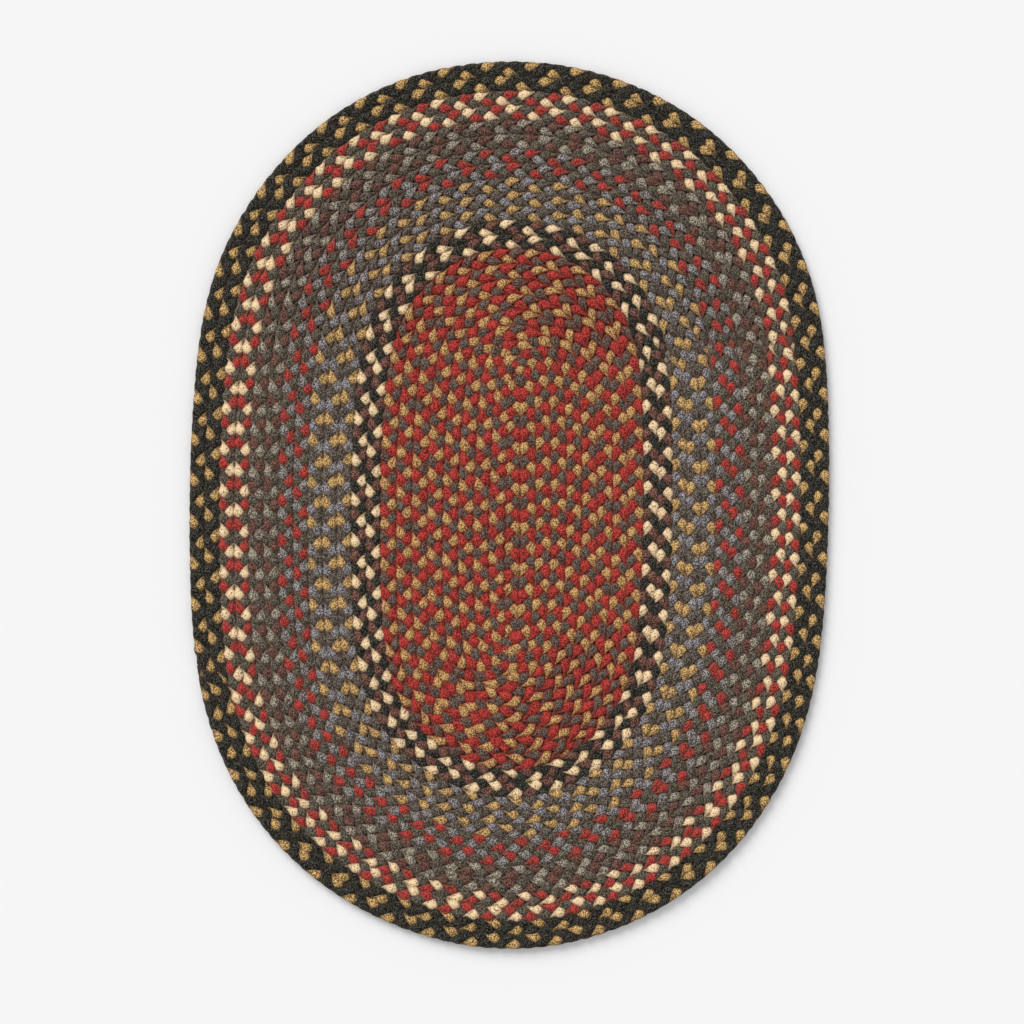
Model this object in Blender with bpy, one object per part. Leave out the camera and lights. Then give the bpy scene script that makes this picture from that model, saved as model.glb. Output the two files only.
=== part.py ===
"""Oval braided rug, lying flat.

Seven lengths of three-strand braid, each with its own three colours, are coiled round a short
centre run and laced edge to edge. Each length is one closed solid here, with its rows raised as
rounded ribs and its underside flat. Metres, +Z up. The origin is on the floor under the middle
of the rug, with the rug's length along Y.
"""

import math

import bmesh
import bpy

# The braid
THICKNESS = 0.008  # floor to the crown of a row
VALLEY = 0.0046  # floor to the bottom of the groove between two rows
GAP = 0.0003  # between two lengths of braid
SHOULDER = 0.28  # where a row's crown starts, as a share of its width

# Rows are counted outwards from the middle of the centre run
FIELD_PITCH = 0.0123  # from row to row in the centre
BORDER_PITCH = 0.01146  # from row to row in the bands round it
FIELD_ROWS = 8.5

# The oval: a row's half length is its half width and this much more
EXTRA_AT_CENTRE = 0.107
EXTRA_AT_RIM = 0.0984
EXTRA_CURVE = 0.65  # under 1, it changes faster near the centre
SIDE_BOW = 0.0076  # how far the long sides are from straight
FOOT_TAPER = 0.002  # the foot end is drawn in by this much, and the head end let out
CENTRE_SHIFT = (0.0024, -0.0041)  # where the centre run's middle lies; the rim's is the origin

# Unevenness of the rim, fading to nothing at the centre
RIM_WAVES = (
    # waves round the rug, depth in metres, bearing of one crest in degrees
    {"waves": 3, "depth": 0.00035, "crest": 60.0},
    {"waves": 4, "depth": 0.0005, "crest": 22.5},
    {"waves": 7, "depth": 0.0003, "crest": 12.9},
)

# Rim of the outermost row
RIM_HEIGHT = 0.0038  # floor to its widest point
RIM_TUCK = 0.0015  # how far its foot lies inside its widest point

# Stations round the rug, spaced along the rim
STATION_SPACING = 0.031
JOIN_SPACING = 0.014
JOIN_REACH_DEG = 16.0
FINE_STATIONS = 1440

# A length's turns step out by one row, in parts wide enough for the thinnest end of a row
STEP_PARTS = 20

# From the centre outwards. A length's join is on this bearing in degrees, counter-clockwise
# from +X seen from above. Clockwise from there, its turns step out by one row along "step".
BANDS = (
    {"name": "centre_braid", "rows": 8, "join": 340.0, "step": 0.150, "colour": (0.20, 0.08, 0.05)},
    {"name": "cream_black_braid", "rows": 2, "join": 22.0, "step": 0.050, "colour": (0.23, 0.17, 0.12)},
    {"name": "gold_grey_braid", "rows": 3, "join": 19.0, "step": 0.056, "colour": (0.19, 0.14, 0.09)},
    {"name": "red_grey_braid", "rows": 2, "join": 17.0, "step": 0.056, "colour": (0.16, 0.08, 0.07)},
    {"name": "sage_brown_braid", "rows": 2, "join": 15.0, "step": 0.056, "colour": (0.11, 0.09, 0.07)},
    {"name": "red_cream_braid", "rows": 2, "join": 14.0, "step": 0.056, "colour": (0.36, 0.19, 0.12)},
    {"name": "black_gold_border", "rows": 2, "join": 197.0, "step": 0.056, "colour": (0.13, 0.09, 0.04)},
)
TOTAL_ROWS = FIELD_ROWS + sum(band["rows"] for band in BANDS[1:])


def half_width(row):
    """Half the width of the oval that lies this many rows out."""
    inner = min(row, FIELD_ROWS)
    return inner * FIELD_PITCH + (row - inner) * BORDER_PITCH


def extra_length(row):
    """How much longer than wide that oval's half is."""
    share = (row / TOTAL_ROWS) ** EXTRA_CURVE
    return EXTRA_AT_CENTRE + (EXTRA_AT_RIM - EXTRA_AT_CENTRE) * share


def reach(row, bearing):
    """Distance from the middle to the line that touches the oval on this bearing."""
    width, extra = half_width(row), extra_length(row)
    bow = min(SIDE_BOW, width / 2)
    oval = math.hypot(bow * math.cos(bearing), (extra + bow) * math.sin(bearing))
    taper = 2 * FOOT_TAPER * math.sin(bearing) * math.cos(bearing) ** 2
    waves = sum(
        wave["depth"] * math.cos(wave["waves"] * (bearing - math.radians(wave["crest"])))
        for wave in RIM_WAVES
    )
    return width - bow + oval + (taper + waves) * row / TOTAL_ROWS


def point_on(row, bearing, out=0.0):
    """The oval's point on this bearing, moved outwards by a little, as (x, y)."""
    turn = 1e-4
    slope = (reach(row, bearing + turn) - reach(row, bearing - turn)) / (2 * turn)
    far = reach(row, bearing) + out
    shift = 1 - (row / TOTAL_ROWS) ** 2
    x = far * math.cos(bearing) - slope * math.sin(bearing) + shift * CENTRE_SHIFT[0]
    y = far * math.sin(bearing) + slope * math.cos(bearing) + shift * CENTRE_SHIFT[1]
    return x, y


def angle_between(a, b):
    """The smaller angle between two bearings."""
    return abs(math.remainder(a - b, 2 * math.pi))


def make_stations():
    """Bearings round the rug, clockwise, evenly spaced but closer together round the joins."""
    fine = [-2 * math.pi * i / FINE_STATIONS for i in range(FINE_STATIONS + 1)]
    rim = [point_on(TOTAL_ROWS, bearing) for bearing in fine]
    joins = [math.radians(band["join"]) for band in BANDS]
    reach_of_join = math.radians(JOIN_REACH_DEG) / 2
    passed = [0.0]
    for i in range(FINE_STATIONS):
        close = any(angle_between(fine[i], join) < reach_of_join for join in joins)
        spacing = JOIN_SPACING if close else STATION_SPACING
        passed.append(passed[-1] + math.dist(rim[i], rim[i + 1]) / spacing)
    count = round(passed[-1])
    stations, fine_index = [], 0
    for step in range(count):
        while passed[fine_index] < step * passed[-1] / count:
            fine_index += 1
        stations.append(fine[fine_index])
    return stations


def smooth(share):
    """Eases from 0 to 1."""
    share = min(max(share, 0.0), 1.0)
    return share * share * (3 - 2 * share)


def clockwise_from(stations, bearing):
    """The stations once round, starting with the one nearest to a bearing and ending on it."""
    start = min(range(len(stations)), key=lambda i: angle_between(stations[i], bearing))
    return [*stations[start:], *stations[: start + 1]]


def row_lines(rows, step):
    """The lines along a band's top as (row, height), with its rows moved out by a part of one.

    The row that starts at the join grows from nothing at the inner edge, and the one that ends
    there narrows to nothing at the outer edge.
    """
    lines = []
    for row in range(-1, rows):
        low = min(max(row + step, 0.0), rows)
        high = min(max(row + 1 + step, 0.0), rows)
        crown = VALLEY + (THICKNESS - VALLEY) * (high - low)
        lines.append((low, VALLEY))
        lines.append((low + SHOULDER * (high - low), crown))
        lines.append((high - SHOULDER * (high - low), crown))
    lines.append((float(rows), VALLEY))
    return lines


def band_section(first_row, rows, step, bearing, is_centre, is_rim):
    """One station's points across a band, from its inner foot or middle to its outer foot."""
    points = []
    if is_centre:
        points.append((*point_on(SHOULDER * first_row, bearing), THICKNESS))
    else:
        points.append((*point_on(first_row, bearing, GAP / 2), 0.0))
    for place, height in row_lines(rows, step):
        at_inner_edge = place == 0.0 and not is_centre
        at_outer_edge = place == rows
        out = GAP / 2 * (at_inner_edge - at_outer_edge)
        if at_outer_edge and is_rim:
            out, height = 0.0, RIM_HEIGHT
        points.append((*point_on(first_row + place, bearing, out), height))
    foot = -RIM_TUCK if is_rim else -GAP / 2
    points.append((*point_on(first_row + rows, bearing, foot), 0.0))
    return points


def make_band(band, first_row, stations):
    """Lofts one band once round from its join, and welds its two ends."""
    rows = band["rows"]
    is_centre = band is BANDS[0]
    is_rim = band is BANDS[-1]
    bearings = clockwise_from(stations, math.radians(band["join"]))
    middle = [point_on(first_row + rows / 2, bearing) for bearing in bearings]

    mesh_data = bmesh.new()
    sections = []
    travelled = 0.0
    for i, bearing in enumerate(bearings):
        travelled += math.dist(middle[i], middle[i - 1]) if i else 0.0
        step = round(smooth(travelled / band["step"]) * STEP_PARTS) / STEP_PARTS
        points = band_section(first_row, rows, step, bearing, is_centre, is_rim)
        sections.append([mesh_data.verts.new(point) for point in points])
    for before, after in zip(sections, sections[1:]):
        for j in range(len(before) - 1):
            mesh_data.faces.new((before[j], before[j + 1], after[j + 1], after[j]))
        if not is_centre:
            mesh_data.faces.new((before[-1], before[0], after[0], after[-1]))
    if is_centre:
        mesh_data.faces.new([section[0] for section in sections[:-1]])
        mesh_data.faces.new([section[-1] for section in reversed(sections[:-1])])
    bmesh.ops.remove_doubles(mesh_data, verts=mesh_data.verts, dist=0.00002)
    bmesh.ops.recalc_face_normals(mesh_data, faces=mesh_data.faces)

    mesh = bpy.data.meshes.new(band["name"])
    mesh_data.to_mesh(mesh)
    mesh_data.free()
    mesh.shade_smooth()
    mesh.set_sharp_from_angle(angle=math.radians(60))
    braid = bpy.data.objects.new(band["name"], mesh)
    bpy.context.scene.collection.objects.link(braid)
    mesh.materials.append(yarn_material(band["name"], band["colour"]))
    return braid


def yarn_material(name, colour):
    """Dull plant-fibre yarn in a band's middle colour."""
    material = bpy.data.materials.new(name)
    material.use_nodes = True
    shader = material.node_tree.nodes["Principled BSDF"]
    shader.inputs["Base Color"].default_value = (*colour, 1.0)
    shader.inputs["Roughness"].default_value = 0.92
    shader.inputs["Metallic"].default_value = 0.0
    return material


def main():
    for leftover in list(bpy.data.objects):
        bpy.data.objects.remove(leftover, do_unlink=True)
    stations = make_stations()
    first_row = FIELD_ROWS - BANDS[0]["rows"]
    for band in BANDS:
        make_band(band, first_row, stations)
        first_row += band["rows"]


main()
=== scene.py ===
"""An oval rug of three-strand braid, coiled and laced edge to edge, seen from straight above.

Each length of braid is three strands of yarn that weave over and under each other along the
path of its coiled rows. The strands take the place of the ribbed solids of the frame.
"""

import math

import bpy
import numpy as np
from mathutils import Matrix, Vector


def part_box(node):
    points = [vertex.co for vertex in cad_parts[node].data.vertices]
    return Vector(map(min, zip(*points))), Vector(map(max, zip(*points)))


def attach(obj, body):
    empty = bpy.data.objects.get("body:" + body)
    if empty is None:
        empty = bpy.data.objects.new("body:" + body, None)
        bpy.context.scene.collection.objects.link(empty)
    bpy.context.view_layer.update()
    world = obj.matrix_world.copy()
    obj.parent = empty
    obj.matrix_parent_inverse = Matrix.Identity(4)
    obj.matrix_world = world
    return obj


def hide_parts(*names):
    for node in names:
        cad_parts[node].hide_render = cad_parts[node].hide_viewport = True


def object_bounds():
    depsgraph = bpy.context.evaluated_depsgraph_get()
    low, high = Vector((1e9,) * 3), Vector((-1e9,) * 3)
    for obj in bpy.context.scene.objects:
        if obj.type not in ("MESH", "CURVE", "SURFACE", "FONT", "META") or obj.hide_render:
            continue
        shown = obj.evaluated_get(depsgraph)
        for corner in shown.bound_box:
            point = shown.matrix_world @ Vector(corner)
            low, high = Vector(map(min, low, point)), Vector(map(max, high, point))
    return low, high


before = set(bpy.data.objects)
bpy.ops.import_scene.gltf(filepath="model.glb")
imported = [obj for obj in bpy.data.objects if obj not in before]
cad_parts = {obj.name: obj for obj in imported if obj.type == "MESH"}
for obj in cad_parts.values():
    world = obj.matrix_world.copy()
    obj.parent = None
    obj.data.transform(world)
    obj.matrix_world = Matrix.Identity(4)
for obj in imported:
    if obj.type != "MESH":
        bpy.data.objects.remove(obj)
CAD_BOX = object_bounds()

bl_info = {
    "name": "Braided Rug",
    "version": (1, 0, 0),
    "blender": (4, 5, 0),
    "location": "3D View > Sidebar > Rug",
    "description": "Braids, coils and dyes an oval rug of three-strand yarn braid",
    "category": "Add Mesh",
}

# ---------------------------------------------------------------------------
# Rows of braid, counted outwards from the middle of the centre run
# ---------------------------------------------------------------------------

FIELD_ROWS = 8.5
RIM_ROWS = 21.5
EXTRA_AT_CENTRE = 0.107  # half an oval's length less half its width
EXTRA_AT_RIM = 0.0984
EXTRA_CURVE = 0.65
SIDE_BOW = 0.0076  # how far the long sides are from straight
FOOT_TAPER = 0.002
CENTRE_SHIFT = (0.0024, -0.0041)
RIM_WAVES = (
    # waves round the rug, depth in metres, bearing of one crest in degrees
    {"waves": 3, "depth": 0.00035, "crest": 60.0},
    {"waves": 4, "depth": 0.0005, "crest": 22.5},
    {"waves": 7, "depth": 0.0003, "crest": 12.9},
)
SPIRAL_SHIFT = -0.0032  # the centre's spiral turns about a middle this much nearer the foot

FIELD_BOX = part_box("centre_braid")
FIELD_PITCH = (FIELD_BOX[1][0] - FIELD_BOX[0][0]) / 2 / FIELD_ROWS
RIM_HALF_WIDTH = (CAD_BOX[1][0] - CAD_BOX[0][0]) / 2
BORDER_PITCH = (RIM_HALF_WIDTH - FIELD_PITCH * FIELD_ROWS) / (RIM_ROWS - FIELD_ROWS)
THICKNESS = CAD_BOX[1][2] - CAD_BOX[0][2]

FINE_STEPS = 1440  # stations in one turn of a path
RUN_STEPS = 200  # stations along the centre run
JUST_OFF = 1e-3  # radians to each side of due right on which the run's two ends are outermost
MIN_SHARE = 0.12  # of a row's width, under which a tapering end of braid stops
RIM_FUZZ = 0.0003  # how far the trimmed rim stands proud of the frame's
UNDERSIDE = 0.0001  # how far the flattened underside is from the floor
RUN_START = 0.003  # how far the run's first stitches stand up into the first turn
HAIRPIN_EXTRA = 0.7  # repeats more round the foot of the run, where the turn is tightest
SLACK_REPEAT = 0.0335  # the longest repeat whose strands are as thick as on the straight sides
MOST_STRETCH = 1.12  # a repeat's length over that one, past which its strands thin no further

# Each length of braid with its yarns in the order that its stitches follow each other clockwise.
# A join's bearing is counter-clockwise from +X. "repeat" is the braid's repeat, averaged over a
# turn: it is shorter on the straight sides than round the ends. "phases" places the first
# yarn's stitches on each row, as a share of a repeat, at the middle of the right-hand side, of
# the foot, of the left-hand side and of the head.
# "shade" names the colour of the painted shade low down between its strands.
SIDE_REPEAT = 0.0322
RINGS = (
    {
        "name": "cream_black",
        "node": "cream_black_braid",
        "first_row": 8.5,
        "rows": 2,
        "join": 22.0,
        "step": 0.050,
        "repeat": 0.0345,
        "phases": (
            (0.06, 0.70, 0.80, 0.64),
            (0.40, 0.35, 0.04, 0.26),
        ),
        "yarns": ("cream", "black", "brown"),
        "shade": "black_shade",
    },
    {
        "name": "gold_grey",
        "node": "gold_grey_braid",
        "first_row": 10.5,
        "rows": 3,
        "join": 19.0,
        "step": 0.056,
        "repeat": 0.0345,
        "phases": (
            (0.62, 0.84, 0.54, 0.12),
            (0.03, 0.76, 0.10, 0.12),
            (0.56, 0.64, 0.62, 0.15),
        ),
        "yarns": ("gold", "lavender", "charcoal"),
        "shade": "shade",
    },
    {
        "name": "red_grey",
        "node": "red_grey_braid",
        "first_row": 13.5,
        "rows": 2,
        "join": 17.0,
        "step": 0.056,
        "repeat": 0.0347,
        "phases": (
            (0.09, 0.99, 0.65, 0.11),
            (0.39, 0.72, 0.86, 0.73),
        ),
        "yarns": ("red", "olive", "blue_grey"),
        "shade": "shade",
    },
    {
        "name": "sage_brown",
        "node": "sage_brown_braid",
        "first_row": 15.5,
        "rows": 2,
        "join": 15.0,
        "step": 0.056,
        "repeat": 0.0350,
        "phases": (
            (0.29, 0.92, 0.18, 0.41),
            (0.15, 0.37, 0.25, 0.92),
        ),
        "yarns": ("sage", "olive", "maroon"),
        "shade": "shade",
    },
    {
        "name": "red_cream",
        "node": "red_cream_braid",
        "first_row": 17.5,
        "rows": 2,
        "join": 14.0,
        "step": 0.056,
        "repeat": 0.0344,
        "phases": (
            (0.79, 0.07, 0.21, 0.21),
            (0.66, 0.38, 0.73, 0.90),
        ),
        "yarns": ("cream", "olive", "red"),
        "shade": "shade",
    },
    {
        "name": "border",
        "node": "black_gold_border",
        "first_row": 19.5,
        "rows": 2,
        "join": 197.0,
        "step": 0.056,
        "repeat": 0.0345,
        "phases": (
            (0.91, 0.39, 0.36, 0.42),
            (0.89, 0.36, 0.53, 0.73),
        ),
        "yarns": ("gold", "black", "black"),
        "shade": "black_shade",
    },
)
SPIRAL_LENGTHS = (
    {
        "name": "centre",
        "node": "centre_braid",
        "yarns": ("amber", "taupe", "red"),
        "shade": "centre_shade",
    },
    {
        "name": "centre_edge",
        "node": "centre_braid",
        "yarns": ("amber", "red", "taupe"),
        "shade": "centre_shade",
    },
)
SPIRAL_TURNS = 8
SPLICE_TURN = 6.25  # where the centre's second length takes over from its first
TAIL_FROM = math.radians(44)  # the spiral's end narrows faster from here past the right side
TAIL_TO = math.radians(80)  # and is tucked in here
SPIRAL_PHASES = (
    # at the same four places on each of the centre's rows, from the run outwards
    (0.50, 0.20, 0.29, 0.12),
    (0.73, 0.20, 0.47, 0.81),
    (0.94, 0.81, 0.52, 0.33),
    (0.92, 0.24, 0.37, 0.78),
    (0.97, 0.25, 0.24, 0.09),
    (0.76, 0.51, 0.94, 0.31),
    (0.42, 0.69, 0.73, 0.57),
    (0.20, 0.81, 0.53, 0.71),
    (0.85,),
)
LENGTH_NAMES = [length["name"] for length in (*SPIRAL_LENGTHS, *RINGS)]

YARN_WIDTHS = {"amber": 0.94, "taupe": 0.96, "red": 1.05}  # in the centre


def half_width(row):
    """Half the width of the oval that lies this many rows out."""
    inner = np.minimum(row, FIELD_ROWS)
    return inner * FIELD_PITCH + (row - inner) * BORDER_PITCH


def extra_length(row):
    """How much longer than wide that oval's half is."""
    share = (np.maximum(row, 0.0) / RIM_ROWS) ** EXTRA_CURVE
    return EXTRA_AT_CENTRE + (EXTRA_AT_RIM - EXTRA_AT_CENTRE) * share


def reach(row, bearing):
    """Distance from the middle to the line that touches the oval on this bearing."""
    width = half_width(row)
    extra = extra_length(row)
    bow = np.minimum(SIDE_BOW, width / 2)
    oval = np.hypot(bow * np.cos(bearing), (extra + bow) * np.sin(bearing))
    taper = 2 * FOOT_TAPER * np.sin(bearing) * np.cos(bearing) ** 2
    waves = sum(
        wave["depth"] * np.cos(wave["waves"] * (bearing - math.radians(wave["crest"])))
        for wave in RIM_WAVES
    )
    return width - bow + oval + (taper + waves) * row / RIM_ROWS


def points_on(row, bearing, drift=0.0):
    """The ovals' points on these bearings, as rows of (x, y).

    drift is how fast the row changes with the bearing, for a path that moves out as it turns.
    """
    turn = 1e-4
    ahead = reach(row + drift * turn, bearing + turn)
    behind = reach(row - drift * turn, bearing - turn)
    slope = (ahead - behind) / (2 * turn)
    far = reach(row, bearing)
    shift = 1 - (row / RIM_ROWS) ** 2
    x = far * np.cos(bearing) - slope * np.sin(bearing) + shift * CENTRE_SHIFT[0]
    y = far * np.sin(bearing) + slope * np.cos(bearing) + shift * CENTRE_SHIFT[1]
    return np.stack([x, y], axis=1)


def distances(points):
    """Distance along a line of points, from its first one."""
    steps = np.linalg.norm(np.diff(points, axis=0), axis=1)
    return np.concatenate([[0.0], np.cumsum(steps)])


def smooth(share):
    """Eases from 0 to 1."""
    share = np.clip(share, 0.0, 1.0)
    return share * share * (3 - 2 * share)


def crossings(points, quarter):
    """The last points before a clockwise path crosses a middle line of the rug.

    Quarter 0 is the middle of the right-hand side, 1 the foot, 2 the left-hand side, 3 the head.
    """
    turn = quarter * math.pi / 2
    out = points[:, 0] * math.cos(turn) - points[:, 1] * math.sin(turn)
    before = points[:, 1] * math.cos(turn) + points[:, 0] * math.sin(turn)
    return np.nonzero((out[:-1] > 0) & (before[:-1] >= 0) & (before[1:] < 0))[0]


def repeats_passed(straight, curved, natural, marks, phases):
    """Repeats passed along a path whose steps are partly straight and partly curved.

    Each two marks in turn are as near as the phases allow to the natural number apart.
    """
    rates = []
    for start, stop, before, after in zip(marks, marks[1:], phases, phases[1:]):
        wanted = natural[start:stop].sum()
        wanted = round(wanted - (after - before)) + (after - before)
        on_sides = straight[start:stop].sum() / SIDE_REPEAT
        rates.append((wanted - on_sides) / curved[start:stop].sum())
    rates = [rates[0], *rates, rates[-1]]
    stretch = np.searchsorted(marks, np.arange(len(curved)), side="right")
    passed = np.cumsum(straight / SIDE_REPEAT + curved * np.array(rates)[stretch])
    passed = np.concatenate([[0.0], passed])
    return passed + phases[0] - passed[marks[0]]


def split_steps(points, rows, angles):
    """Each step's length along a path, as its straight part and the part that goes round."""
    steps = np.linalg.norm(np.diff(points, axis=0), axis=1)
    middle_row = (rows[1:] + rows[:-1]) / 2
    curved = np.minimum(half_width(middle_row) * np.diff(angles), steps)
    return steps - curved, curved


def ring_path(ring):
    """Path of a coiled length: points, repeats passed, share of a row's width, outer limit."""
    first_row, rows = ring["first_row"], ring["rows"]
    angle = 2 * math.pi * np.arange(FINE_STEPS) / FINE_STEPS
    bearing = math.radians(ring["join"]) - angle
    middle = points_on(np.full(FINE_STEPS, first_row + rows / 2), bearing)
    step = smooth(distances(middle) / ring["step"])
    points, shares, limits, angles, centres = [], [], [], [], []
    for turn in range(-1, rows):
        low = np.clip(turn + step, 0, rows)
        high = np.clip(turn + 1 + step, 0, rows)
        share = high - low
        keep = share > MIN_SHARE
        centre = first_row + (low + high) / 2
        at_rim = first_row + high > RIM_ROWS - 0.01
        limits.append(np.where(at_rim, share * BORDER_PITCH / 2 + RIM_FUZZ, BORDER_PITCH)[keep])
        points.append(points_on(centre, bearing)[keep])
        shares.append(share[keep])
        angles.append((angle + 2 * math.pi * (turn + 1))[keep])
        centres.append(centre[keep])
    points, shares = np.concatenate(points), np.concatenate(shares)
    straight, curved = split_steps(points, np.concatenate(centres), np.concatenate(angles))
    natural = (straight + curved) / ring["repeat"]
    marks = {}
    for quarter in range(4):
        for row, mark in zip(ring["phases"], crossings(points, quarter)):
            marks[int(mark)] = row[quarter]
    places = sorted(marks)
    phases = [marks[place] for place in places]
    passed = repeats_passed(straight, curved, natural, places, phases)
    return points, passed, shares, np.concatenate(limits)


def spiral_path():
    """Path of the centre: its run, and turns that move out by a row round the foot."""
    run_top, run_foot = (
        points_on(np.array([0.0]), np.array([side * JUST_OFF]))[0] for side in (1, -1)
    )
    run_top = run_top + (0.0, RUN_START)
    run = np.linspace(run_top, run_foot, RUN_STEPS)[:-1]
    angle = 2 * math.pi * np.arange(FINE_STEPS * SPIRAL_TURNS + FINE_STEPS // 2) / FINE_STEPS
    angle = angle + JUST_OFF
    turn = np.floor(angle / (2 * math.pi))
    within = angle - 2 * math.pi * turn
    moving = within < math.pi
    row = turn + np.where(moving, (1 - np.cos(within)) / 2, 1.0)
    drift = np.where(moving, -np.sin(within) / 2, 0.0)

    # The tail's row narrows to nothing round the foot, and the rows inside it spread to match
    tail = np.where(moving, (1 + np.cos(within)) / 2, 0.0)
    cut_tail = tail * (1 - smooth((within - TAIL_FROM) / (TAIL_TO - TAIL_FROM)))
    spread = (FIELD_ROWS - cut_tail) / (FIELD_ROWS - tail)
    low = np.where(turn < SPIRAL_TURNS, (row - 0.5) * spread, FIELD_ROWS - cut_tail)
    high = np.where(turn < SPIRAL_TURNS, (row + 0.5) * spread, FIELD_ROWS)
    share = (high - low) * FIELD_PITCH / BORDER_PITCH
    centre = (high + low) / 2
    turns = points_on(row, -angle, drift)
    outwards = np.stack([np.cos(angle), -np.sin(angle)], axis=1)
    turns += outwards * ((centre - row) * FIELD_PITCH)[:, None]
    keep = share > MIN_SHARE
    turns, share, angle, centre = turns[keep], share[keep], angle[keep], centre[keep]
    points = np.concatenate([run, turns])
    points[:, 1] += SPIRAL_SHIFT * smooth(1 - np.abs(points[:, 1]) / FIELD_BOX[1][1])
    shares = np.concatenate([np.ones(len(run)), share])
    angles = np.concatenate([np.zeros(len(run)), angle])
    rows = np.concatenate([np.zeros(len(run)), centre])

    # Round an end, each row has one repeat more than the row inside it
    straight, curved = split_steps(points, rows, angles)
    natural = straight / SIDE_REPEAT + curved / (math.pi * FIELD_PITCH)
    hairpin = (angles[1:] > 0) & (angles[1:] < math.pi)
    natural[hairpin] += HAIRPIN_EXTRA / hairpin.sum()
    marks = np.sort(np.concatenate([crossings(points, quarter) for quarter in range(4)]))
    phases = [phase for row_phases in SPIRAL_PHASES for phase in row_phases]
    passed = repeats_passed(straight, curved, natural, marks, phases)
    return points, passed, shares, np.full(len(points), BORDER_PITCH), angles


def path_of(name):
    """A length's yarns and its node, with its path as points, shares and repeats."""
    for ring in RINGS:
        if ring["name"] == name:
            return ring, *ring_path(ring)
    points, passed, shares, limits, angles = spiral_path()
    splice = np.searchsorted(angles, 2 * math.pi * SPLICE_TURN)
    part = slice(None, splice + 1) if name == "centre" else slice(splice, None)
    length = next(length for length in SPIRAL_LENGTHS if length["name"] == name)
    return length, points[part], passed[part], shares[part], limits[part]


def guide_mesh(name, points, passed, shares, limits, steps):
    """A path as a mesh of edges, with the same number of points in each repeat."""
    first, last = math.ceil(passed[0] * steps), math.floor(passed[-1] * steps)
    phase = np.arange(first, last + 1) / steps
    start, stop = np.clip([phase - 0.5, phase + 0.5], passed[0], passed[-1])
    gone_before, gone_after = (np.interp(end, passed, distances(points)) for end in (start, stop))
    repeat = (gone_after - gone_before) / (stop - start)
    stretch = np.clip(repeat / SLACK_REPEAT, 1.0, MOST_STRETCH)
    x, y, share, limit = (np.interp(phase, passed, v) for v in (*points.T, shares, limits))
    mesh = bpy.data.meshes.new(f"{name}_path")
    edges = [(i, i + 1) for i in range(len(phase) - 1)]
    mesh.from_pydata(np.stack([x, y, 0 * x], axis=1).tolist(), edges, [])
    layers = {"phase": phase, "share": share, "limit": limit, "stretch": stretch}
    for attribute, values in layers.items():
        layer = mesh.attributes.new(attribute, "FLOAT", "POINT")
        layer.data.foreach_set("value", values.astype(np.float32))
    return mesh


# ---------------------------------------------------------------------------
# Node trees
# ---------------------------------------------------------------------------


class Value:
    """An output of a node tree, so that its maths is written as Python expressions."""

    def __init__(self, graph, socket):
        self.graph = graph
        self.socket = socket

    def other(self, name):
        """Another output of the same node."""
        sockets = self.socket.node.outputs
        return Value(self.graph, next(s for s in sockets if s.name == name and s.enabled))

    def maths(self, operation, *values):
        """A Math node on this value and others."""
        sockets = dict(enumerate((self, *values)))
        return self.graph.node("ShaderNodeMath", {"operation": operation}, sockets)

    def __add__(self, other):
        return self.maths("ADD", other)

    __radd__ = __add__

    def __mul__(self, other):
        return self.maths("MULTIPLY", other)

    __rmul__ = __mul__

    def __sub__(self, other):
        return self.maths("SUBTRACT", other)

    def __rsub__(self, other):
        return (self * -1) + other

    def __truediv__(self, other):
        return self.maths("DIVIDE", other)

    def __pow__(self, other):
        return self.maths("POWER", other)

    def sin(self):
        return self.maths("SINE")

    def cos(self):
        return self.maths("COSINE")

    def ramp(self, low, high, to_low=0.0, to_high=1.0):
        """Eases from one value to another while this one goes from low to high."""
        sockets = {
            "Value": self,
            "From Min": low,
            "From Max": high,
            "To Min": to_low,
            "To Max": to_high,
        }
        settings = {"interpolation_type": "SMOOTHSTEP"}
        return self.graph.node("ShaderNodeMapRange", settings, sockets)


class Graph:
    """A node tree under construction."""

    def __init__(self, tree):
        self.tree = tree
        tree.nodes.clear()

    def node(self, kind, settings=None, sockets=None, out=None):
        """Adds a node: its settings first, then the values or links of its sockets."""
        node = self.tree.nodes.new(kind)
        for name, value in (settings or {}).items():
            setattr(node, name, value)
        for name, value in (sockets or {}).items():
            self.put(node, name, value)
        usable = [s for s in node.outputs if s.enabled and (out is None or s.name == out)]
        return Value(self, usable[0]) if usable else node

    def put(self, node, name, value):
        """Sets or links one input, given by its name or number."""
        if isinstance(name, int):
            socket = node.inputs[name]
        else:
            socket = next(s for s in node.inputs if s.name == name and s.enabled)
        if isinstance(value, Value):
            self.tree.links.new(value.socket, socket)
        else:
            socket.default_value = value

    def vector(self, operation, *values, out=None):
        """A Vector Math node."""
        sockets = dict(enumerate(values))
        if operation == "SCALE":
            sockets = {0: values[0], "Scale": values[1]}
        return self.node("ShaderNodeVectorMath", {"operation": operation}, sockets, out)

    def combine(self, x=0.0, y=0.0, z=0.0):
        """A vector of three numbers."""
        return self.node("ShaderNodeCombineXYZ", None, {"X": x, "Y": y, "Z": z})

    def mix(self, share, a, b):
        """A mix of two colours."""
        settings = {"data_type": "RGBA", "clamp_factor": True}
        return self.node("ShaderNodeMix", settings, {"Factor": share, "A": a, "B": b})

    def noise(self, place, scale, detail, roughness=0.5, out="Fac"):
        """Soft noise that is the same in each run, with this many waves to a metre of place."""
        sockets = {"Vector": place, "Scale": scale, "Detail": detail, "Roughness": roughness}
        return self.node("ShaderNodeTexNoise", None, sockets, out)


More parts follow.
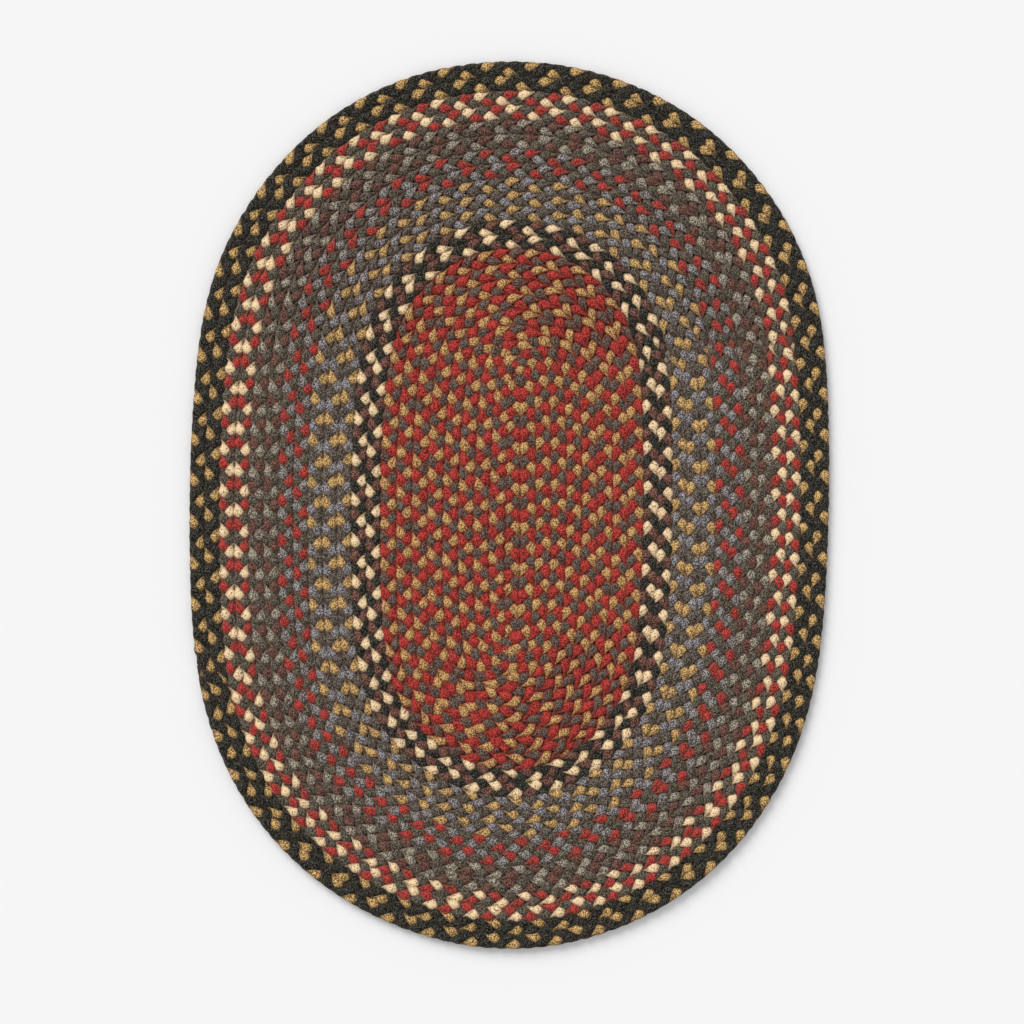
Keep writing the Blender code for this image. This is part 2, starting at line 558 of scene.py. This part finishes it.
# Names of the strand tree's inputs that are plain numbers
STRAND_SIZES = (
    "Strand",
    "Sway",
    "Lift",
    "Half Width",
    "Half Thickness",
    "Middle Height",
    "Roll",
    "Bulge",
    "Plunge",
    "Lead",
    "Taper",
    "Slimming",
    "Dwell",
    "Unevenness",
)
STITCH_DRIFT = 0.16  # range of the stitches' drift along a row, as a share of a repeat
ROW_DRIFT = 0.0022  # range of a row's drift sideways
WANDER = 0.0012  # range of a strand's own straying
SWELL = 0.30  # range of a strand's girth, as a share
PRESSED_IN = 0.85  # share of what stands past the rim that is pressed in
TIP = (0.05, 0.40)  # shares of a row's width between which a tapering end thins faster
TIP_SIZE = 0.25  # a strand's size at the very end


def strand_tree():
    """Geometry Nodes that lay one strand of a braid along a path."""
    tree = bpy.data.node_groups.new("braid_strand", "GeometryNodeTree")
    interface = tree.interface
    interface.new_socket("Path", in_out="INPUT", socket_type="NodeSocketGeometry")
    for name in STRAND_SIZES:
        interface.new_socket(name, in_out="INPUT", socket_type="NodeSocketFloat")
    interface.new_socket("Sides", in_out="INPUT", socket_type="NodeSocketInt")
    interface.new_socket("Yarn", in_out="INPUT", socket_type="NodeSocketMaterial")
    interface.new_socket("Strand", in_out="OUTPUT", socket_type="NodeSocketGeometry")

    g = Graph(tree)
    given = g.node("NodeGroupInput")
    strand, sway, lift = given.other("Strand"), given.other("Sway"), given.other("Lift")
    uneven = given.other("Unevenness")

    def named(name, kind="FLOAT"):
        return g.node("GeometryNodeInputNamedAttribute", {"data_type": kind}, {"Name": name})

    def store(shape, name, value, kind="FLOAT"):
        sockets = {"Geometry": shape, "Name": name, "Value": value}
        return g.node("GeometryNodeStoreNamedAttribute", {"data_type": kind}, sockets)

    line = g.node("GeometryNodeMeshToCurve", None, {"Mesh": given.other("Path")})
    place = g.node("GeometryNodeInputPosition")

    # Where a row narrows, its strands lie lower and are thinner
    share = named("share")
    lowered = share * 0.45 + 0.55
    narrowed = (share * 0.7 + 0.3) * share.ramp(*TIP, TIP_SIZE, 1.0)

    # The three strands share the drift of the stitches and of the row, so they stay braided
    drift = (g.noise(place, 14.0, 1.0) - 0.5) * STITCH_DRIFT * uneven
    row_drift = (g.noise(place, 9.0, 1.0) - 0.5) * ROW_DRIFT * uneven
    theta = (named("phase") + drift - strand / 3) * (2 * math.pi)

    up = (0.0, 0.0, 1.0)
    along = g.node("GeometryNodeInputTangent")
    side = g.vector("CROSS_PRODUCT", up, along)
    line = store(line, "stitch", theta / (2 * math.pi))
    line = store(line, "side", side, "FLOAT_VECTOR")
    line = store(line, "row_middle", place, "FLOAT_VECTOR")

    # Each strand also strays by itself, by noise read at a place of its own
    own_place = g.vector("ADD", place, g.combine(0.0, 0.0, strand * 0.1))
    wander = g.noise(own_place, 90.0, 1.0, 0.5, "Color")
    wander = g.vector("SCALE", g.vector("SUBTRACT", wander, (0.5, 0.5, 0.5)), uneven * WANDER)

    # It swings from side to side once in a repeat, and rises and dips twice
    swing = theta.sin() + (theta * 3).sin() * given.other("Dwell")
    out = sway * swing * share + row_drift
    ahead = theta * 2 + given.other("Lead")
    wave = ahead.sin() + (ahead * 2).sin() * given.other("Plunge")
    rise = (given.other("Middle Height") + lift * wave) * lowered
    move = g.vector("ADD", g.vector("SCALE", named("side", "FLOAT_VECTOR"), out), wander)
    move = g.vector("ADD", move, g.combine(0.0, 0.0, rise))
    line = g.node("GeometryNodeSetPosition", None, {"Geometry": line, "Offset": move})

    # A strand lies flat where it crosses over and turns on edge at the sides of the braid
    theta = named("stitch") * (2 * math.pi)
    flatness = theta.cos() - (theta * 3).cos()
    tilt = (theta.cos() + given.other("Roll") * flatness) * (math.pi / 2)
    thin = g.vector("SCALE", named("side", "FLOAT_VECTOR"), tilt.cos())
    thin = g.vector("ADD", thin, g.vector("SCALE", g.combine(0.0, 0.0, 1.0), tilt.sin()))
    heading = g.node("GeometryNodeInputTangent")
    lean = g.vector("DOT_PRODUCT", thin, heading, out="Value")
    thin = g.vector("SUBTRACT", thin, g.vector("SCALE", heading, lean))
    thin = g.vector("NORMALIZE", thin)
    line = g.node("GeometryNodeSetCurveNormal", {"mode": "FREE"}, {"Curve": line, "Normal": thin})

    # Its girth varies by chance. It is plumper where it shows, and less so where it is stretched
    swell = (g.noise(own_place, 160.0, 1.0) - 0.5) * SWELL * uneven + 1.0
    plump = 1 - given.other("Bulge") * (theta * 4 + given.other("Lead") * 2).cos()
    taper = 1 - given.other("Taper") * theta.sin() ** 2.0
    slim = named("stretch") ** (given.other("Slimming") * -1)
    girth = narrowed * swell * plump * taper * slim

    sockets = {"Resolution": given.other("Sides"), "Radius": 1.0}
    ring = g.node("GeometryNodeCurvePrimitiveCircle", None, sockets)
    ring = store(ring, "around", g.node("GeometryNodeInputPosition"), "FLOAT_VECTOR")
    flat = g.combine(given.other("Half Thickness"), given.other("Half Width"), 1.0)
    ring = g.node("GeometryNodeTransform", None, {"Geometry": ring, "Scale": flat})
    sockets = {"Curve": line, "Profile Curve": ring, "Scale": girth, "Fill Caps": True}
    body = g.node("GeometryNodeCurveToMesh", None, sockets)

    # The rim is trimmed to the frame's outline, and the underside pressed flat on the floor
    corner = g.node("GeometryNodeInputPosition")
    across = named("side", "FLOAT_VECTOR")
    from_middle = g.vector("SUBTRACT", corner, named("row_middle", "FLOAT_VECTOR"))
    outside = g.vector("DOT_PRODUCT", from_middle, across, out="Value") - named("limit")
    excess = outside.maths("MAXIMUM", 0.0)
    corner = g.vector("SUBTRACT", corner, g.vector("SCALE", across, excess * PRESSED_IN))
    parts = g.node("ShaderNodeSeparateXYZ", None, {"Vector": corner})
    resting = g.combine(parts, parts.other("Y"), parts.other("Z").maths("MAXIMUM", UNDERSIDE))
    body = g.node("GeometryNodeSetPosition", None, {"Geometry": body, "Position": resting})
    body = g.node("GeometryNodeSetShadeSmooth", None, {"Geometry": body, "Shade Smooth": True})
    body = g.node("GeometryNodeRealizeInstances", None, {"Geometry": body})
    sockets = {"Geometry": body, "Material": given.other("Yarn")}
    body = g.node("GeometryNodeSetMaterial", None, sockets)
    g.node("NodeGroupOutput", None, {"Strand": body})
    return tree


def made_by_nodes(name, mesh, tree, inputs):
    """A plain mesh object, made from another mesh by a node tree with these inputs."""
    source = bpy.data.objects.new(name, mesh)
    bpy.context.scene.collection.objects.link(source)
    modifier = source.modifiers.new("nodes", "NODES")
    modifier.node_group = tree
    for item in tree.interface.items_tree:
        if item.item_type == "SOCKET" and item.in_out == "INPUT" and item.name in inputs:
            modifier[item.identifier] = inputs[item.name]
    evaluated = source.evaluated_get(bpy.context.evaluated_depsgraph_get())
    result = bpy.data.meshes.new_from_object(evaluated)
    source.modifiers.remove(modifier)
    source.data = result
    result.name = name
    bpy.data.meshes.remove(mesh)
    return source


# ---------------------------------------------------------------------------
# Materials
# ---------------------------------------------------------------------------


PLY_TWIST = 2.4  # radians that the plies turn in one repeat of the braid
THREADS = (2.4, 6.0)  # how fine the fibres' streaks are round a strand, and along a repeat
BEADS = 800.0  # fibre ends to a metre
GRAIN = 1050.0  # waves of grain to a metre
PATCHES = 170.0  # waves of light and dark patches to a metre
LIGHTEST = 0.95  # no fibre reflects more light than this

# A yarn's tone goes from dark fibres over its dye to pale ones. Each pattern counts by its weight.
MIDDLE_TONE = 0.57
BEAD_WEIGHT = 0.80
GRAIN_WEIGHT = 0.24
PATCH_WEIGHT = 0.12
STREAK_WEIGHT = 0.14
DARK_TONES = (0.32, 0.45)  # between these the dark fibres give way to the dye
PALE_TONES = (0.45, 0.60)  # and between these the dye to the pale fibres


def yarn_material(name, colour, shade_colour, fibre_colour):
    """Heathered yarn: a fine grain of paler and darker fibres, combed along the strand,
    with painted shade low down between the strands.
    """
    material = bpy.data.materials.get(name)
    if material:
        return material
    base = Vector(colour)

    # The duller a yarn, the more stray fibres show. The paler it is, the more its streaks do
    dullness = min(colour) / max(colour)
    pale = Vector(fibre_colour) * dullness
    paleness = max(colour) ** 3
    dark = (base * (0.11 + 0.25 * max(colour) ** 0.5)).lerp(
        Vector(shade_colour), 0.10 + 0.25 * paleness
    )
    light = base * 1.60 + pale
    light *= min(1.0, LIGHTEST / max(light))

    material = bpy.data.materials.new(name)
    material.use_nodes = True
    g = Graph(material.node_tree)
    around = g.node("ShaderNodeAttribute", {"attribute_name": "around"}, out="Vector")
    stitch = g.node("ShaderNodeAttribute", {"attribute_name": "stitch"}, out="Fac")
    place = g.node("ShaderNodeTexCoord", out="Object")

    # Streaks of fibre that run along the plies, which twist round the strand
    parts = g.node("ShaderNodeSeparateXYZ", None, {"Vector": around})
    lay = stitch * PLY_TWIST
    turned_x = parts * lay.cos() - parts.other("Y") * lay.sin()
    turned_y = parts * lay.sin() + parts.other("Y") * lay.cos()
    thread = g.combine(turned_x * THREADS[0], turned_y * THREADS[0], stitch * THREADS[1])
    filaments = g.noise(thread, 1.3, 3.0, 0.65)

    # Short fibre ends stand out of the yarn as pale beads with darker gaps between them
    turned = g.node("ShaderNodeMapping", None, {"Vector": place, "Rotation": (0.5, 0.7, 0.3)})
    sockets = {"Vector": turned, "Scale": BEADS, "Randomness": 0.7}
    beads = g.node("ShaderNodeTexVoronoi", None, sockets)
    grain = g.noise(place, GRAIN, 0.0)
    patches = g.noise(place, PATCHES, 2.0, 0.6)
    streaks = filaments * (STREAK_WEIGHT + 0.45 * paleness)
    tone = MIDDLE_TONE - 0.20 * paleness - beads * BEAD_WEIGHT + grain * GRAIN_WEIGHT
    tone = tone + streaks + patches * PATCH_WEIGHT
    dyed = [edge - 0.055 * paleness for edge in DARK_TONES]
    shade = g.mix(tone.ramp(*dyed), (*dark, 1.0), (*base, 1.0))
    shade = g.mix(tone.ramp(*PALE_TONES), shade, (*light, 1.0))

    # Painted shade: down between the strands, on either face of the rug, the yarn is darkened
    # towards its shade colour, and more so along a crossing strand's edges. Where rise is over 0,
    # the strand shows on that face, and under 0 it dips below another and is darkened as well.
    height = g.node("ShaderNodeSeparateXYZ", None, {"Vector": place}).other("Z")
    above = height / (THICKNESS / 2) - 1
    depth = above.maths("ABSOLUTE").ramp(0.04, 0.90)
    face = (above * 4).maths("MAXIMUM", -1.0).maths("MINIMUM", 1.0)
    edge = parts.other("Y").maths("ABSOLUTE").ramp(0.42, 0.92)
    rise = (stitch * (4 * math.pi)).sin() * face
    crossing = rise.ramp(0.2, 0.9)
    showing = rise.ramp(-0.10, 0.60, 0.12, 1.0)
    # The painted shade's colour: the yarn's own colour, darkened and mixed with the shade colour.
    painted_shade = g.mix(0.62, g.vector("SCALE", shade, 0.78), (*shade_colour, 1.0))
    shade = g.mix(depth * showing * (1 - edge * crossing * 0.65), painted_shade, shade)
    fuzz = grain * 0.4 - beads * 0.8 + filaments * 0.6
    bump = g.node("ShaderNodeBump", None, {"Strength": 0.8, "Distance": 0.0008, "Height": fuzz})
    sockets = {
        "Base Color": shade,
        "Roughness": 0.92,
        "Normal": bump,
        "Sheen Weight": 0.08,
        "Sheen Roughness": 0.5,
        "Specular IOR Level": 0.1,
    }
    shader = g.node("ShaderNodeBsdfPrincipled", None, sockets)
    g.node("ShaderNodeOutputMaterial", None, {"Surface": shader})
    return material


def floor_material(colour):
    """Pale matt floor."""
    material = bpy.data.materials.new("pale_floor")
    material.use_nodes = True
    g = Graph(material.node_tree)
    shader = g.node("ShaderNodeBsdfPrincipled", None, {"Base Color": colour, "Roughness": 0.9})
    g.node("ShaderNodeOutputMaterial", None, {"Surface": shader})
    return material


# ---------------------------------------------------------------------------
# Settings
# ---------------------------------------------------------------------------


def size(name, description, default, low=0.0):
    """A length that a user can change."""
    return bpy.props.FloatProperty(
        name=name, description=description, default=default, min=low, precision=5, unit="LENGTH"
    )


def portion(name, description, default):
    """A share that a user can change."""
    return bpy.props.FloatProperty(
        name=name, description=description, default=default, min=0.0, max=1.0, subtype="FACTOR"
    )


def angle_setting(name, description, degrees):
    """An angle that a user can change."""
    return bpy.props.FloatProperty(
        name=name, description=description, default=math.radians(degrees), subtype="ANGLE"
    )


def tint(name, description, default):
    """A colour that a user can change."""
    return bpy.props.FloatVectorProperty(
        name=name, description=description, default=default, size=3, min=0, max=1, subtype="COLOR"
    )


class RugBraidSizes(bpy.types.PropertyGroup):
    """Sizes of the braid's strands."""

    sway: size("Sway", "How far a strand swings to each side of its row", 0.0046)
    lift: size("Lift", "How far a strand rises and dips as it crosses", THICKNESS * 0.24)
    half_width: size("Half Width", "Half a strand's width", 0.0041)
    half_thickness: size("Half Thickness", "Half a strand's thickness", 0.0020)
    bulge: portion("Bulge", "How much plumper a strand is where it shows", 0.10)
    plunge: portion("Plunge", "How steeply a strand rises at the row's middle", 0.32)
    lead: angle_setting("Lead", "How early a strand dives before it turns back at the side", 9)
    taper: portion("Taper", "How much a strand narrows at the side of its row", 0.08)
    slimming: bpy.props.FloatProperty(
        name="Slimming",
        description="How fast a strand thins where the braid is stretched",
        default=2.0,
        min=0.0,
    )
    dwell: portion("Dwell", "How long a strand keeps to the side of its row", 0.08)
    roll: portion("Roll", "How long a strand stays flat before it turns on edge", 0.12)
    unevenness: bpy.props.FloatProperty(
        name="Unevenness", description="How uneven the braiding is", default=1.0, min=0.0
    )
    steps: bpy.props.IntProperty(
        name="Steps", description="Points along one repeat of the braid", default=18, min=9
    )
    sides: bpy.props.IntProperty(
        name="Sides", description="Faces round a strand", default=8, min=6
    )


class RugYarnColours(bpy.types.PropertyGroup):
    """Dyes of the yarns."""

    cream: tint("Cream", "Colour of the cream yarn", (1.000, 0.730, 0.430))
    gold: tint("Gold", "Colour of the gold yarn", (0.535, 0.330, 0.122))
    amber: tint("Amber", "Colour of the centre's gold yarn", (0.515, 0.310, 0.117))
    red: tint("Red", "Colour of the red yarn", (0.415, 0.043, 0.034))
    brown: tint("Brown", "Colour of the maroon-brown yarn", (0.175, 0.073, 0.053))
    maroon: tint("Maroon", "Colour of the sage band's darker brown yarn", (0.152, 0.064, 0.047))
    sage: tint("Sage", "Colour of the sage yarn", (0.295, 0.260, 0.198))
    lavender: tint("Lavender", "Colour of the lavender-grey yarn", (0.208, 0.196, 0.205))
    blue_grey: tint("Blue Grey", "Colour of the blue-grey yarn", (0.221, 0.204, 0.196))
    olive: tint("Olive", "Colour of the dark olive yarn", (0.098, 0.082, 0.059))
    taupe: tint("Taupe", "Colour of the centre's brown-grey yarn", (0.105, 0.093, 0.072))
    charcoal: tint("Charcoal", "Colour of the charcoal yarn", (0.102, 0.084, 0.066))
    black: tint("Black", "Colour of the black yarn", (0.013, 0.013, 0.010))
    fibre: tint("Fibre", "Colour of the stray fibres on dull yarns", (0.130, 0.122, 0.098))
    centre_fibre: tint("Centre Fibre", "The same in the centre", (0.070, 0.052, 0.040))
    # Painted shade: the colours that the yarns are darkened towards low down between the strands,
    # at a crossing strand's edges and where a strand dips below another. The yarns' dark flecks
    # take a little of these colours too.
    shade: tint("Shade", "Colour low down between the strands", (0.150, 0.094, 0.066))
    black_shade: tint("Black Shade", "The same next to black yarn", (0.062, 0.046, 0.032))
    centre_shade: tint("Centre Shade", "The same in the centre", (0.300, 0.036, 0.024))


class RugStudio(bpy.types.PropertyGroup):
    """Floor, camera and light."""

    frame_width: size("Frame Width", "Width of floor that the camera takes in", 0.815)
    camera_height: size("Camera Height", "Height of the camera over the floor", 2.4)
    camera_roll: angle_setting("Camera Roll", "Turn of the camera about its line of sight", 0.86)
    camera_right: size("Camera Right", "Camera's place right of the rug's middle", 0.002, -1.0)
    camera_up: size("Camera Up", "Camera's place towards the rug's head end", -0.006, -1.0)
    light_strength: bpy.props.FloatProperty(
        name="Light Strength", description="Strength of the soft light", default=2.1, min=0
    )
    light_spread: angle_setting("Light Spread", "How wide the soft light looks from the rug", 35)
    sky: bpy.props.FloatProperty(
        name="Sky", description="Strength of the light from all round", default=0.63, min=0
    )
    floor: tint("Floor", "Colour of the floor", (0.90, 0.90, 0.905))


# ---------------------------------------------------------------------------
# Operators
# ---------------------------------------------------------------------------


SENSOR_WIDTH = 36.0
FLOOR_REACH = 6.0  # from the rug's middle to the floor's edges
LIGHT_FROM = (-0.95, 1.5, 1.3)  # upper left of the photo


def strand_names(length):
    """Names of a length's three strands, one for each yarn, in the yarns' order."""
    names = []
    for yarn in length["yarns"]:
        name = f"{length['name']}_{yarn}_strand"
        names.append(f"{name}_{len(names) + 1}" if name in names else name)
    return names


class RUG_OT_braid(bpy.types.Operator):
    """Braid one length of the rug along its coiled rows"""

    bl_idname = "rug.braid"
    bl_label = "Braid a Length"

    length: bpy.props.EnumProperty(
        name="Length",
        description="Which length of braid to make",
        items=[(name, name.replace("_", " ").capitalize(), "") for name in LENGTH_NAMES],
    )

    def execute(self, context):
        sizes, colours = context.scene.rug_sizes, context.scene.rug_colours
        length, points, *along = path_of(self.length)
        tree = bpy.data.node_groups.get("braid_strand") or strand_tree()
        shade = length["shade"]
        in_centre = shade == "centre_shade"
        fibre = colours.centre_fibre if in_centre else colours.fibre
        for number, (yarn, name) in enumerate(zip(length["yarns"], strand_names(length))):
            material = yarn_material(
                f"{yarn}_{shade}_yarn", getattr(colours, yarn), getattr(colours, shade), fibre
            )
            width = YARN_WIDTHS.get(yarn, 1.0) if in_centre else 1.0
            inputs = {
                "Strand": float(number),
                "Sway": sizes.sway,
                "Lift": sizes.lift,
                "Half Width": sizes.half_width * width,
                "Half Thickness": sizes.half_thickness,
                "Middle Height": THICKNESS / 2,
                "Roll": sizes.roll,
                "Bulge": sizes.bulge,
                "Plunge": sizes.plunge,
                "Lead": sizes.lead,
                "Taper": sizes.taper,
                "Slimming": sizes.slimming,
                "Dwell": sizes.dwell,
                "Unevenness": sizes.unevenness,
                "Sides": sizes.sides,
                "Yarn": material,
            }
            mesh = guide_mesh(name, points, *along, sizes.steps)
            strand = made_by_nodes(name, mesh, tree, inputs)
            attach(strand, "root")
            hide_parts(length["node"])
        return {"FINISHED"}


class RUG_OT_studio(bpy.types.Operator):
    """Lay the floor and set the camera and the light"""

    bl_idname = "rug.studio"
    bl_label = "Set the Studio"

    def execute(self, context):
        scene, studio = context.scene, context.scene.rug_studio
        far = FLOOR_REACH
        corners = [(-far, -far, 0.0), (far, -far, 0.0), (far, far, 0.0), (-far, far, 0.0)]
        floor_mesh = bpy.data.meshes.new("floor")
        floor_mesh.from_pydata(corners, [], [(0, 1, 2, 3)])
        floor_mesh.materials.append(floor_material((*studio.floor, 1.0)))
        floor = bpy.data.objects.new("floor", floor_mesh)
        scene.collection.objects.link(floor)

        camera = bpy.data.objects.new("camera", bpy.data.cameras.new("camera"))
        scene.collection.objects.link(camera)
        camera.data.sensor_width = SENSOR_WIDTH
        camera.data.lens = SENSOR_WIDTH * studio.camera_height / studio.frame_width
        camera.location = (studio.camera_right, studio.camera_up, studio.camera_height)
        camera.rotation_euler = (0.0, 0.0, studio.camera_roll)
        scene.camera = camera

        lamp = bpy.data.lights.new("soft_light", "SUN")
        lamp.angle = studio.light_spread
        lamp.energy = studio.light_strength
        light = bpy.data.objects.new("soft_light", lamp)
        light.location = LIGHT_FROM
        light.rotation_euler = (-light.location).to_track_quat("-Z", "Y").to_euler()
        scene.collection.objects.link(light)

        world = bpy.data.worlds.new("studio_sky")
        world.use_nodes = True
        background = world.node_tree.nodes["Background"]
        background.inputs["Color"].default_value = (1.0, 1.0, 1.0, 1.0)
        background.inputs["Strength"].default_value = studio.sky
        scene.world = world
        scene.view_settings.view_transform = "Standard"
        return {"FINISHED"}


class RUG_PT_panel(bpy.types.Panel):
    """The rug's sizes, dyes and operators"""

    bl_idname = "RUG_PT_panel"
    bl_label = "Braided Rug"
    bl_space_type = "VIEW_3D"
    bl_region_type = "UI"
    bl_category = "Rug"

    def draw(self, context):
        layout = self.layout
        scene = context.scene
        for group in (scene.rug_sizes, scene.rug_colours, scene.rug_studio):
            box = layout.box()
            for name in group.bl_rna.properties.keys():
                if name not in ("rna_type", "name"):
                    box.prop(group, name)
        for name in LENGTH_NAMES:
            layout.operator("rug.braid", text=f"Braid {name.replace('_', ' ')}").length = name
        layout.operator("rug.studio")


CLASSES = (
    RugBraidSizes,
    RugYarnColours,
    RugStudio,
    RUG_OT_braid,
    RUG_OT_studio,
    RUG_PT_panel,
)


def register():
    for cls in CLASSES:
        bpy.utils.register_class(cls)
    bpy.types.Scene.rug_sizes = bpy.props.PointerProperty(type=RugBraidSizes)
    bpy.types.Scene.rug_colours = bpy.props.PointerProperty(type=RugYarnColours)
    bpy.types.Scene.rug_studio = bpy.props.PointerProperty(type=RugStudio)


def unregister():
    del bpy.types.Scene.rug_studio
    del bpy.types.Scene.rug_colours
    del bpy.types.Scene.rug_sizes
    for cls in reversed(CLASSES):
        bpy.utils.unregister_class(cls)


def main():
    register()
    bpy.ops.rug.studio()
    for name in LENGTH_NAMES:
        bpy.ops.rug.braid(length=name)


if __name__ == "__main__":
    main()
